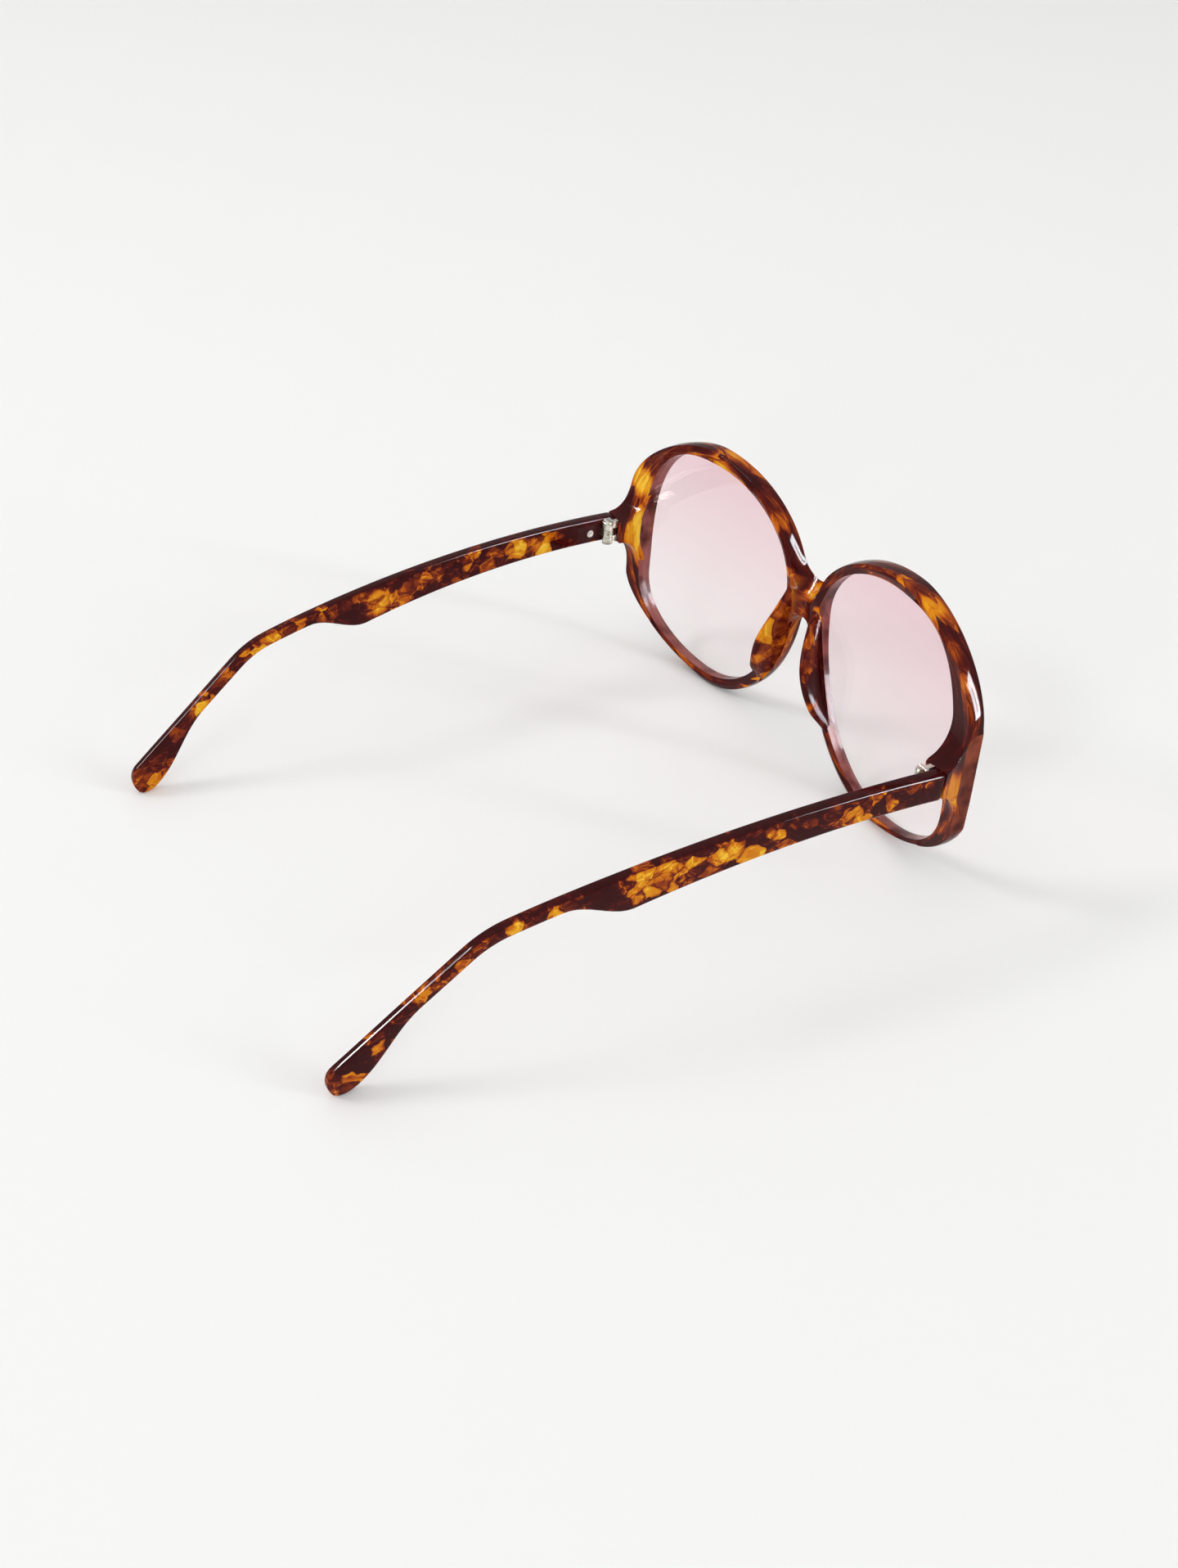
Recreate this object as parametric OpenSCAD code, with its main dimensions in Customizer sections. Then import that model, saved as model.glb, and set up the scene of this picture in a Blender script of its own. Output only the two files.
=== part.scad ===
// Oversized oval sunglasses: a one-piece plastic front with two tinted lenses, two nose pads,
// and two plastic temples on three-knuckle metal hinges. Millimetres, +Z up.
// The front stands across X and looks towards -Y; the temples run back along +Y.
// The glasses rest open on the rims and the temple tips, at z = 0.

/* [Lens openings] */
// Width of each lens opening
opening_w = 55.4; // [52:0.2:58]
// Height of each lens opening
opening_h = 58.9; // [55:0.1:61]
// Distance between the two openings at the nose
nose_gap = 13; // [11.5:0.5:16]
// Distance from an opening's nose side to its highest and lowest points
peak_in = 29; // [27:0.5:31]
// Height of the widest point on the nose side, above the opening's lowest point
nose_widest_up = 38.1; // [35:0.1:40]
// Height of the widest point on the temple side, above the opening's lowest point
side_widest_up = 17.3; // [14:0.1:20]
// Squareness of the upper outer corner of the opening, 2 being an ellipse
corner_square = 2.9; // [2:0.1:4]

/* [Rims] */
// Width of the rim under the lens
rim_bottom = 2.7; // [2.4:0.1:4]
// Width of the rim over the lens
rim_top = 3.3; // [2.4:0.1:5]
// Width of the rim on the nose side
rim_nose = 2.8; // [2:0.1:3.2]
// Width of the rim on the temple side
rim_side = 4.7; // [4:0.1:6]
// Height of the lower end of the rim's flat outer side
facet_low = 18.2; // [15:0.2:22]
// Height of the upper end of the rim's flat outer side
facet_high = 44.2; // [42:0.2:48]
// Roundness of the rim's upper outer corner, 2 being an ellipse and less a straighter corner
high_corner = 1.7; // [1.6:0.1:2.2]
// Roundness of the rim's lower outer corner, 2 being an ellipse and less a straighter corner
low_corner = 1.6; // [1.4:0.1:2]
// Distance of the rim's highest point beyond the opening's, away from the nose
rim_peak_out = 2.5; // [1:0.5:4]
// Distance of the rim's lowest point from the opening's, towards the nose
rim_foot_in = 1.5; // [0:0.5:3]
// Thickness of the front, from front to back
front_t = 4.2; // [4:0.1:5]
// Thickness of the front at the bottom of the rims
foot_t = 3.2; // [3.2:0.1:4]
// Height from which the front has its full thickness
full_up = 26; // [20:1:30]
// Radius to which the back of the front is bowed
bow_r = 316; // [250:2:400]

/* [Bridge] */
// Height of the lowest point of the dip over the nose
bridge_top = 45.8; // [44:0.2:47]
// Radius of the dip over the nose
dip_r = 6.5; // [5:0.5:9]
// Height of the top of the slot between the rims
slot_top = 36.6; // [34:0.2:37.6]
// Height above the dip's lowest point at which the bridge runs out into the rims
bridge_rise = 4.5; // [3.5:0.1:4.8]

/* [Lenses] */
// Thickness of a lens
lens_t = 1.8; // [1.4:0.1:2]
// Depth to which a lens sits in its groove
lens_seat = 0.9; // [0.6:0.1:1.2]
// Distance from the back of the rim to the back of the lens
lens_inset = 0.9; // [0.7:0.1:1.1]
// Clearance of a lens in its groove
lens_clear = 0.03; // [0.02:0.01:0.1]

/* [Nose pads] */
// Height of the top of a pad, where it has died away beside the bridge
pad_high = 45; // [42:0.5:50]
// Height of the bottom of a pad
pad_low = 10.5; // [9:0.5:14]
// Height at which a pad stands out most
pad_peak_up = 26.5; // [24:0.5:29]
// Distance that a pad stands out behind the rim
pad_out = 5.8; // [5:0.2:8]
// Thickness of a pad at its top and bottom ends
pad_edge = 0.6; // [0.5:0.1:1]
// Outward lean of a pad, in degrees
pad_lean = 20; // [10:1:24]
// Thickness of the cement that holds a pad
cement_t = 0.02; // [0.01:0.01:0.05]

/* [End pieces] */
// Distance from the back of the bridge to the joint with a temple
joint_back = 12.9; // [12:0.1:15]
// Height of the top of the temple at the joint
joint_up = 37.2; // [36:0.1:39]
// Rise of the end piece from the joint to the rim
flare_up = 8; // [5:0.2:9]
// Fall of the end piece from the joint to the rim
flare_down = 8; // [4:0.2:9]
// Step from the side of the rim out to the temple's outer face
end_step = 1.4; // [1:0.1:2]
// Thickness of the end piece at the joint
end_t = 6.4; // [6:0.1:7]

/* [Temples] */
// Thickness of a temple at the joint
temple_t = 3.2; // [3:0.1:4]
// Thickness of a temple at its tip
tip_t = 2; // [1.8:0.1:3]
// Height of a temple at the joint
temple_h = 6.6; // [6.2:0.1:8]
// Height of a temple at the bump in front of the ear
bump_h = 9.2; // [8:0.1:10]
// Height of the slim part over the ear
slim_h = 3.2; // [2.6:0.1:4]
// Height of the paddle at the tip
paddle_h = 7.6; // [6:0.1:9]
// Length from the joint to the bump
bump_at = 75; // [65:0.5:80]
// Length over which the bump falls away to the slim part
bump_run = 14.5; // [9:0.5:18]
// Length from the joint to the start of the bend
bend_at = 100.5; // [96:0.5:106]
// Length of the bend over the ear
bend_run = 10; // [8:0.5:20]
// Slope of the tail after the bend, in degrees
tail_slope = 37.5; // [30:0.5:42]
// Length over which the tail widens into the paddle
paddle_run = 20; // [14:0.5:24]
// Length of the paddle's round end
paddle_end = 4.5; // [3:0.1:6]
// Share of the paddle's height above its farthest point
tip_share = 0.68; // [0.5:0.02:0.8]
// Inward lean of a temple at the joint, in degrees
temple_lean = 2.5; // [1:0.1:4]
// Radius to which a temple is bowed inward
temple_bow_r = 1800; // [1600:50:3000]
// Gap between a temple's end and the end piece
joint_gap = 0.1; // [0.05:0.05:0.2]

/* [Hinges] */
// Distance of the hinge pin behind the joint
pin_back = 2.8; // [2.4:0.1:3.4]
// Radius of a knuckle
knuckle_r = 1.4; // [1.2:0.05:1.5]
// Height of the three knuckles together
hinge_h = 6; // [5.4:0.1:6.2]
// Gap between two knuckles
knuckle_gap = 0.1; // [0.05:0.05:0.15]
// Gap between the knuckles and the temple's inner face
face_gap = 0.1; // [0.05:0.05:0.2]
// Clearance between a knuckle and the plastic of the temple
relief = 0.25; // [0.15:0.05:0.4]
// Clearance of the anchors, plates and rivets in the plastic
metal_clear = 0.03; // [0.02:0.01:0.1]
// Thickness of a hinge strap
strap_t = 1.2; // [1:0.1:1.4]
// Depth of the strap's anchor in the end piece
anchor_in = 3.9; // [3:0.1:4.5]
// Height of the cross plate on the anchor
anchor_cross_h = 3.6; // [3:0.1:4.4]
// Depth of the cross plate's back face in the end piece
anchor_cross_in = 1.8; // [1.4:0.1:2]
// Plastic left outside the cross plate
anchor_cover = 1.2; // [1:0.1:1.6]
// Length of the plate let into a temple, behind the pin
plate_back = 8.4; // [7:0.1:11]
// Height of the plate let into a temple
plate_h = 4.6; // [4:0.1:5]
// Thickness of the plate let into a temple
plate_t = 0.9; // [0.7:0.1:1.1]
// Radius of the screw's shank
screw_r = 0.6; // [0.5:0.05:0.7]
// Running clearance of the shank in the temple's knuckle
screw_clear = 0.04; // [0.02:0.01:0.08]
// Radius of the screw's head
head_r = 1.15; // [0.9:0.05:1.3]
// Height of the screw's head
head_h = 0.5; // [0.4:0.05:0.7]
// Width of the slot in the screw's head
screw_slot = 0.3; // [0.2:0.05:0.4]
// Distance of the rivet behind the pin
rivet_back = 4.6; // [4:0.1:6]
// Radius of the rivet's shank
rivet_r = 0.55; // [0.4:0.05:0.7]
// Length of the rivet's shank
rivet_len = 2.3; // [1.8:0.1:2.6]
// Radius of the rivet's head
rivet_head_r = 0.95; // [0.8:0.05:1.1]
// Height of the rivet's head
rivet_head_h = 0.35; // [0.2:0.05:0.5]

/* [Hidden] */
eps = 0.01;
steps = 14;                 // straight pieces in a quarter of an outline
flare_steps = 8;            // straight pieces in a flare of an end piece
pad_steps = 16;             // straight pieces in a pad's ridge
fine = 96;                  // sides shown on a small round
bow_sides = 1440;           // sides shown on the front's bow
temple_sides = 3600;        // sides shown on a temple's bow
far = 200;                  // longer than the whole part

// Lens opening: its four extreme points, [x, z]
open_in = nose_gap / 2;
open_out = open_in + opening_w;
open_low = rim_bottom;
open_high = open_low + opening_h;
peak_x = open_in + peak_in;

// Rim's highest and lowest points
rim_peak_x = peak_x + rim_peak_out;
rim_foot_x = peak_x - rim_foot_in;

// Rim's outer edge: its four sides
side_x = open_out + rim_side;
nose_x = open_in - rim_nose;
top_z = open_high + rim_top;
nose_z = open_low + nose_widest_up;

// End piece and joint
outer_x = side_x + end_step;          // outer face of the temples at the joint
end_in = outer_x - end_t;             // inner face of the end piece
joint_low = joint_up - temple_h;

// Hinge
pin_x = outer_x - temple_t - knuckle_r - face_gap;
pin_y = joint_back + pin_back;
hinge_mid = (joint_up + joint_low) / 2;
hinge_z = hinge_mid - hinge_h / 2;
knuckle_h = (hinge_h - 2 * knuckle_gap) / 3;
plate_x = outer_x - temple_t;         // inner face of the plate let into a temple

// Temple: the top edge as runs of [length, start slope, end slope], falling slopes positive
slope_start = -4.6;
slope_bump = 8.8;
slope_bend = 11.5;
bump_end = bump_at + bump_run;
tail_from = bend_at + bend_run;

// A point of a quarter outline from p, where it runs level, to q, where it runs upright
function quarter_pt(p, q, power, a) =
    [p[0] + (q[0] - p[0]) * pow(sin(a), 2 / power), q[1] + (p[1] - q[1]) * pow(cos(a), 2 / power)];
function quarter(p, q, power, back = false) =
    [for (i = [0:steps - 1]) quarter_pt(p, q, power, 90 * (back ? steps - i : i) / steps)];

// Lens opening grown all round by g: four quarters, from the top towards the temple side
function opening(g = 0) =
    let (top = [peak_x, open_high + g], low = [peak_x, open_low - g],
        side = [open_out + g, open_low + side_widest_up], nose = [open_in - g, nose_z])
    concat(quarter(top, side, corner_square), quarter(low, side, 2, true),
        quarter(low, nose, 2), quarter(top, nose, 2, true));

// Outer edge of one rim, with its flat side between facet_low and facet_high
function rim_edge() =
    let (high = [rim_peak_x, top_z], low = [rim_foot_x, 0], nose = [nose_x, nose_z])
    concat(quarter(high, [side_x, facet_high], high_corner), [[side_x, facet_high]],
        quarter(low, [side_x, facet_low], low_corner, true), quarter(low, nose, 2),
        quarter(high, nose, 2, true));

// Distance of the rim's edge from the middle at height z, below its widest point
function rim_edge_x(z) =
    rim_foot_x - (rim_foot_x - nose_x) * sqrt(1 - pow((nose_z - z) / nose_z, 2));

// Slope and position along a temple's top edge, at the length u from the joint
function slope_at(u) =
    u < bump_end ? slope_start + (slope_bump - slope_start) * u / bump_end
    : u < bend_at ? slope_bump + (slope_bend - slope_bump) * (u - bump_end) / (bend_at - bump_end)
    : u < tail_from ? slope_bend + (tail_slope - slope_bend) * (u - bend_at) / bend_run
    : tail_slope;
function run_end(from, length, a, b) =
    let (m = (a + b) / 2, turn = (b - a) / 2, chord = abs(turn) < 0.001 ? 1 : sin(turn) / (turn * PI / 180))
    [from[0] + length * chord * cos(m), from[1] - length * chord * sin(m)];
bump_pt = run_end([joint_back + joint_gap, joint_up], bump_end, slope_start, slope_bump);
bend_pt = run_end(bump_pt, bend_at - bump_end, slope_bump, slope_bend);
tail_pt = run_end(bend_pt, bend_run, slope_bend, tail_slope);
function edge_at(u) =
    u < bump_end ? run_end([joint_back + joint_gap, joint_up], u, slope_start, slope_at(u))
    : u < bend_at ? run_end(bump_pt, u - bump_end, slope_bump, slope_at(u))
    : u < tail_from ? run_end(bend_pt, u - bend_at, slope_bend, slope_at(u))
    : run_end(tail_pt, u - tail_from, tail_slope, tail_slope);

// The tail is as long as it must be for the paddle's round end to touch z = 0
tip_below = tip_share * paddle_h * cos(tail_slope);
tip_rise = (1 - tip_share) * paddle_h * cos(tail_slope);
function end_drop() = tip_below + sqrt(pow(paddle_end * sin(tail_slope), 2) + pow(tip_rise, 2));
function tail_len() = tail_from + (tail_pt[1] - end_drop()) / sin(tail_slope) + paddle_end;

// Height of a temple along its length
function ease(t) = let (c = min(1, max(0, t))) c * c * (3 - 2 * c);
function height_at(u) =
    u < bump_at ? temple_h + (bump_h - temple_h) * pow(u / bump_at, 2)
    : u < bump_end ? bump_h + (slim_h - bump_h) * ease((u - bump_at) / bump_run)
    : slim_h + (paddle_h - slim_h) * ease((u - widen_from) / paddle_run);
function end_round(u) =
    let (t = max(0, (u - tail_len() + paddle_end) / paddle_end)) 1 - sqrt(max(0, 1 - t * t));
// A point of the temple's side view: side 0 is the top edge and side 1 the lower edge
function temple_pt(u, side) =
    let (h = height_at(u), a = slope_at(u), r = end_round(u) * h, p = edge_at(u),
        d = side == 0 ? r * tip_share : h - r * (1 - tip_share))
    [p[0] - d * sin(a), p[1] - d * cos(a)];
widen_from = tail_len() - paddle_run - paddle_end;
along = concat([for (i = [0:11]) i * bump_at / 12], [for (i = [0:7]) bump_at + i * bump_run / 8],
    [for (i = [0:3]) bump_end + i * (bend_at - bump_end) / 4], [for (i = [0:7]) bend_at + i * bend_run / 8],
    [for (i = [0:2]) tail_from + i * (widen_from - tail_from) / 3],
    [for (i = [0:7]) widen_from + i * paddle_run / 8],
    [for (i = [0:9]) tail_len() - paddle_end + paddle_end * sin(i * 10)]);
temple_side = concat([for (u = along) temple_pt(u, 0)], [[temple_end(), temple_end_z()]],
    [for (i = [len(along) - 1:-1:0]) temple_pt(along[i], 1)]);
function temple_end() = temple_pt(tail_len(), 0)[0];
function temple_end_z() = temple_pt(tail_len(), 0)[1];

// The part's origin is in the middle of its length
back_y = max([for (p = temple_side) p[0]]);
mid_y = (back_y - front_t) / 2;

// Places a piece in the part's frame; side 1 is the wearer's left, -1 the right
module placed(side = 1) {
    translate([0, -mid_y, 0]) if (side == 1) children(); else mirror([1, 0, 0]) children();
}

// Extrudes an [x, z] outline along Y, through the whole front
module through_y() {
    translate([0, far / 2, 0]) rotate([90, 0, 0]) linear_extrude(height = far) children();
}

// A layer of the bowed front, between two distances ahead of its back face
module bowed_layer(from, to) {
    translate([0, bow_r, -eps]) difference() {
        cylinder(r = bow_r + to, h = far, $fn = bow_sides);
        translate([0, 0, -eps]) cylinder(r = bow_r + from, h = far + 3 * eps, $fn = bow_sides);
    }
}

// The front's whole thickness, which tapers towards the bottom of the rims
module front_layer() {
    translate([0, bow_r, 0]) difference() {
        union() {
            cylinder(r1 = bow_r + foot_t, r2 = bow_r + front_t, h = full_up, $fn = bow_sides);
            translate([0, 0, full_up]) cylinder(r = bow_r + front_t, h = far, $fn = bow_sides);
        }
        translate([0, 0, -eps]) cylinder(r = bow_r, h = 2 * far, $fn = bow_sides);
    }
}

module both() {
    children();
    mirror([1, 0, 0]) children();
}

// Bridge between the rims: round dip above, round slot below
module bridge_outline() {
    slot_z = slot_top - rim_edge_x(slot_top - nose_x);
    slot_r = slot_top - slot_z;
    difference() {
        translate([-nose_gap / 2, slot_z]) square([nose_gap, bridge_top + bridge_rise - slot_z]);
        translate([0, slot_z]) circle(r = slot_r, $fn = fine);
        translate([0, bridge_top + dip_r]) circle(r = dip_r, $fn = fine);
    }
}

module front_outline() {
    difference() {
        union() {
            both() polygon(rim_edge());
            bridge_outline();
        }
        both() polygon(opening());
    }
}

// End piece behind the rim, flaring from the joint into the rim
module end_piece() {
    run = joint_back - rim_back(side_x) + eps;
    y0 = rim_back(side_x) - front_t / 2;
    flare = [for (i = [0:flare_steps]) i / flare_steps];
    intersection() {
        rotate([90, 0, 90]) linear_extrude(height = far)
            polygon(concat([[joint_back, joint_low], [joint_back, joint_up]],
                [for (t = flare) [joint_back - run * sin(90 * t), joint_up + flare_up * (1 - cos(90 * t))]],
                [[y0, joint_up + flare_up], [y0, joint_low - flare_down]],
                [for (i = [flare_steps:-1:0]) [joint_back - run * sin(90 * flare[i]),
                    joint_low - flare_down * (1 - cos(90 * flare[i]))]]));
        linear_extrude(height = top_z)
            polygon([[end_in, y0], [side_x, y0], [side_x, rim_back(side_x)], [outer_x, joint_back],
                [end_in, joint_back]]);
    }
}
// Depth of the front's back face at the distance x from the middle
function rim_back(x) = bow_r - sqrt(bow_r * bow_r - x * x);

// The hinge strap's anchor: a plate in the end piece with a cross plate near its end
module anchor(grow = 0) {
    block(pin_x - strap_t / 2, pin_x + strap_t / 2, joint_back - anchor_in, joint_back,
        hinge_z, hinge_z + hinge_h, grow);
    block(pin_x - strap_t / 2, outer_x - anchor_cover, joint_back - anchor_cross_in - strap_t,
        joint_back - anchor_cross_in, hinge_mid - anchor_cross_h / 2, hinge_mid + anchor_cross_h / 2, grow);
}

// A block between two distances along each axis, grown all round
module block(x0, x1, y0, y1, z0, z1, grow = 0) {
    translate([x0 - grow, y0 - grow, z0 - grow])
        cube([x1 - x0 + 2 * grow, y1 - y0 + 2 * grow, z1 - z0 + 2 * grow]);
}

module lens_shape(grow = 0) {
    intersection() {
        through_y() polygon(opening(lens_seat + grow));
        bowed_layer(lens_inset - grow, lens_inset + lens_t + grow);
    }
}

module front_frame() {
    color("#5a2a1e") placed() difference() {
        union() {
            intersection() {
                through_y() front_outline();
                front_layer();
            }
            both() end_piece();
        }
        both() lens_shape(lens_clear);
        both() anchor(metal_clear);
    }
}

module lens(side) {
    color("#ecd2da", 0.6) placed(side) lens_shape();
}

// How far a pad's ridge lies behind the back of the bridge, at height z
function pad_ridge(z) =
    pad_edge + (pad_out - pad_edge) * (z < pad_peak_up ? sin(90 * (z - pad_low) / (pad_peak_up - pad_low))
        : 1 - ease((z - pad_peak_up) / (pad_high - pad_peak_up)));

// A nose pad: a swell on the back of the rim's nose side, as wide as the rim and leaning outward
module nose_pad(side) {
    pivot_x = rim_edge_x(pad_peak_up) + rim_nose / 2;
    color("#b5651d") placed(side) difference() {
        intersection() {
            translate([pivot_x, 0, 0]) rotate([0, 0, -pad_lean]) through_y() difference() {
                polygon([for (p = rim_edge()) [(p[0] - pivot_x) * cos(pad_lean), p[1]]]);
                polygon([for (p = opening()) [(p[0] - pivot_x) * cos(pad_lean), p[1]]]);
            }
            rotate([90, 0, 90]) linear_extrude(height = peak_x)
                polygon(concat([[-front_t, pad_low]],
                    [for (i = [0:pad_steps]) let (z = pad_low + (pad_high - pad_low) * i / pad_steps)
                        [pad_ridge(z), z]],
                    [[-front_t, pad_high]]));
        }
        bowed_layer(-cement_t, far / 4);
    }
}

// A temple's thickness: between an outer and an inner upright round of large radius
module temple_layer() {
    turn = temple_lean + atan((temple_t - tip_t) / (temple_end() - joint_back));
    translate([outer_x, joint_back, -eps]) difference() {
        rotate([0, 0, temple_lean]) translate([-temple_bow_r, 0, 0])
            cylinder(r = temple_bow_r, h = top_z, $fn = temple_sides);
        translate([-temple_t, 0, -eps]) rotate([0, 0, 2 * temple_lean - turn])
            translate([-temple_bow_r, 0, 0])
                cylinder(r = temple_bow_r, h = top_z + 3 * eps, $fn = temple_sides);
    }
}

// The plate let into the temple's inner face; out is how far its pocket reaches beyond that face
module plate(grow = 0, out = 0) {
    block(plate_x - out + grow, plate_x + plate_t, pin_y - knuckle_r, pin_y + plate_back,
        hinge_mid - plate_h / 2, hinge_mid + plate_h / 2, grow);
}

// The rivet's hole, or its shank where grow is 0, from the plate's inner face
module rivet_round(grow = 0) {
    translate([plate_x - 2 * grow, pin_y + rivet_back, hinge_mid]) rotate([0, 90, 0])
        cylinder(r = rivet_r + grow, h = rivet_len + 4 * grow, $fn = fine);
}

module temple(side) {
    color("#6b2f1c") placed(side) difference() {
        intersection() {
            rotate([90, 0, 90]) linear_extrude(height = far / 2) polygon(temple_side);
            temple_layer();
        }
        plate(metal_clear, plate_t);
        translate([pin_x, pin_y, 0]) cylinder(r = knuckle_r + relief, h = far / 2, $fn = fine);
        rivet_round(metal_clear);
    }
}

// Two knuckles on a forked strap that is anchored in the end piece
module front_hinge(side) {
    color("#c9c6bd") placed(side) difference() {
        union() {
            for (z = [hinge_z, hinge_z + 2 * (knuckle_h + knuckle_gap)]) {
                translate([pin_x, pin_y, z]) cylinder(r = knuckle_r, h = knuckle_h, $fn = fine);
                block(pin_x - strap_t / 2, pin_x + strap_t / 2, joint_back - eps, pin_y, z, z + knuckle_h);
            }
            anchor();
        }
        translate([pin_x, pin_y, hinge_z - eps])
            cylinder(r = screw_r + metal_clear, h = hinge_h + 2 * eps, $fn = fine);
    }
}

// One knuckle on a plate that is let into the temple
module temple_hinge(side) {
    z = hinge_z + knuckle_h + knuckle_gap;
    color("#c9c6bd") placed(side) difference() {
        union() {
            translate([pin_x, pin_y, z]) cylinder(r = knuckle_r, h = knuckle_h, $fn = fine);
            block(pin_x, plate_x + eps, pin_y, pin_y + knuckle_r, z, z + knuckle_h);
            difference() {
                plate();
                for (z0 = [0, z + knuckle_h]) translate([pin_x, pin_y, z0])
                    cylinder(r = knuckle_r + relief, h = z0 == 0 ? z : far / 2, $fn = fine);
            }
        }
        translate([pin_x, pin_y, 0]) cylinder(r = screw_r + screw_clear, h = far / 2, $fn = fine);
        rivet_round(metal_clear);
    }
}

// Hinge screw: shank through the three knuckles, slotted head on top
module hinge_screw(side) {
    color("#d9d6cc") placed(side) translate([pin_x, pin_y, hinge_z]) difference() {
        union() {
            cylinder(r = screw_r, h = hinge_h + eps, $fn = fine);
            translate([0, 0, hinge_h]) cylinder(r = head_r, h = head_h, $fn = fine);
        }
        block(-head_r - eps, head_r + eps, -screw_slot / 2, screw_slot / 2,
            hinge_h + head_h / 2, hinge_h + 2 * head_h);
    }
}

// Rivet that holds the plate in the temple
module hinge_rivet(side) {
    color("#d9d6cc") placed(side) union() {
        rivet_round();
        translate([plate_x - rivet_head_h, pin_y + rivet_back, hinge_mid]) rotate([0, 90, 0])
            cylinder(r = rivet_head_r, h = rivet_head_h, $fn = fine);
    }
}

front_frame();
lens(1);  // lens_left
lens(-1);  // lens_right
nose_pad(1);  // nose_pad_left
nose_pad(-1);  // nose_pad_right
temple(1);  // temple_left
temple(-1);  // temple_right
front_hinge(1);  // front_hinge_left
front_hinge(-1);  // front_hinge_right
temple_hinge(1);  // temple_hinge_left
temple_hinge(-1);  // temple_hinge_right
hinge_screw(1);  // hinge_screw_left
hinge_screw(-1);  // hinge_screw_right
hinge_rivet(1);  // hinge_rivet_left
hinge_rivet(-1);  // hinge_rivet_right
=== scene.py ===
# %% [markdown]
# Oversized oval sunglasses, seen from behind on a white table. The CAD model gives the
# frame: where every piece is, and how the temples fold. This script adds what the eye
# wants: rounded, polished plastic, mottled colour, tinted lenses and small metal hinges.

from functools import partial
from math import cos, dist, hypot, pi, radians, sin, sqrt, tan

import bmesh
import bpy
from mathutils import Matrix, Vector


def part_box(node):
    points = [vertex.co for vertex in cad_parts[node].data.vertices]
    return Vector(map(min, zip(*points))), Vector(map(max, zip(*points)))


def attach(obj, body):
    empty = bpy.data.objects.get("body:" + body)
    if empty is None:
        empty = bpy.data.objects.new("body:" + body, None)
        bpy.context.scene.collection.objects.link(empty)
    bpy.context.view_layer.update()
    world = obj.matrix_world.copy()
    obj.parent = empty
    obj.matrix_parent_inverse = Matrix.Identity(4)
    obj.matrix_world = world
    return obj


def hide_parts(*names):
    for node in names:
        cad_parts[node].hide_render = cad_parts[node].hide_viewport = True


scene = bpy.context.scene
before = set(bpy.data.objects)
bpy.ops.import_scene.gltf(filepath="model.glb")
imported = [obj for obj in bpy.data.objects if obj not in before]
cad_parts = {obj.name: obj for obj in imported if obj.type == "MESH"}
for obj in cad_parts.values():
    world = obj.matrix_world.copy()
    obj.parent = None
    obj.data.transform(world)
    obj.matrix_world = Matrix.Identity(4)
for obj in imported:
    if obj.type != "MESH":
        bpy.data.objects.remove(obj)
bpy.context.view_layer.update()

# %% [markdown]
# All sizes here are the real ones in millimetres, turned into metres by one factor, or by
# a small function where there are several. They repeat the sizes that the CAD model was
# drawn from, because the rounded pieces below must sit exactly where the plain solids
# are. The frame's boxes tell how far the model was moved to bring its origin under its
# middle.

# %% Driving sizes
MM = 0.001


def mm(*sizes):
    return [size * MM for size in sizes]


opening_w, opening_h = mm(55.4, 58.9)
nose_gap, peak_in = mm(13.0, 29.0)
nose_widest_up, side_widest_up = mm(38.1, 17.3)
corner_square = 2.9
rim_bottom, rim_top, rim_nose, rim_side = mm(2.7, 3.3, 2.8, 4.7)
rim_peak_out, rim_foot_in = mm(2.5, 1.5)
facet_low, facet_high = mm(18.2, 44.2)
high_corner, low_corner = 1.7, 1.6
front_t, foot_t, full_up, bow_r = mm(4.2, 3.2, 26.0, 316.0)
bridge_top, dip_r, slot_top, slot_r = mm(45.8, 6.5, 36.6, 4.3)
joint_back, joint_up, temple_h = mm(12.9, 37.2, 6.6)
flare_from, flare_up, flare_down, end_step = mm(58, 8.0, 8.0, 1.4)

open_in = nose_gap / 2
open_out = open_in + opening_w
open_high = rim_bottom + opening_h
peak_x = open_in + peak_in
side_x = open_out + rim_side
nose_x = open_in - rim_nose
top_z = open_high + rim_top
nose_z = rim_bottom + nose_widest_up
outer_x = side_x + end_step
joint_low = joint_up - temple_h
shift_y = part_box("front_frame")[0].y + front_t
print("The back of the bridge is at y =", round(shift_y, 5))

# %% [markdown]
# The outlines are quarter curves between their highest, lowest and widest points. A
# power of 2 makes a quarter of an ellipse, more makes a squarer corner. Each quarter
# starts where it runs level and ends where it runs upright.

# %% Outlines of the front
arc_gap, parallel, slack = 0.6 * MM, 1e-15, 1e-9
ring_stations, bridge_stations = 168, 8


def quarter(level, upright, power, steps=24, back=False):
    points = []
    for i in range(steps):
        a = pi / 2 * (steps - i if back else i) / steps
        points.append((level[0] + (upright[0] - level[0]) * sin(a) ** (2 / power),
                       upright[1] + (level[1] - upright[1]) * abs(cos(a)) ** (2 / power)))
    return points


def opening_outline(grow=0.0):
    top, low = (peak_x, open_high + grow), (peak_x, rim_bottom - grow)
    side, nose = (open_out + grow, rim_bottom + side_widest_up), (open_in - grow, nose_z)
    return (quarter(top, side, corner_square) + quarter(low, side, 2, back=True)
            + quarter(low, nose, 2) + quarter(top, nose, 2, back=True))


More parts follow.
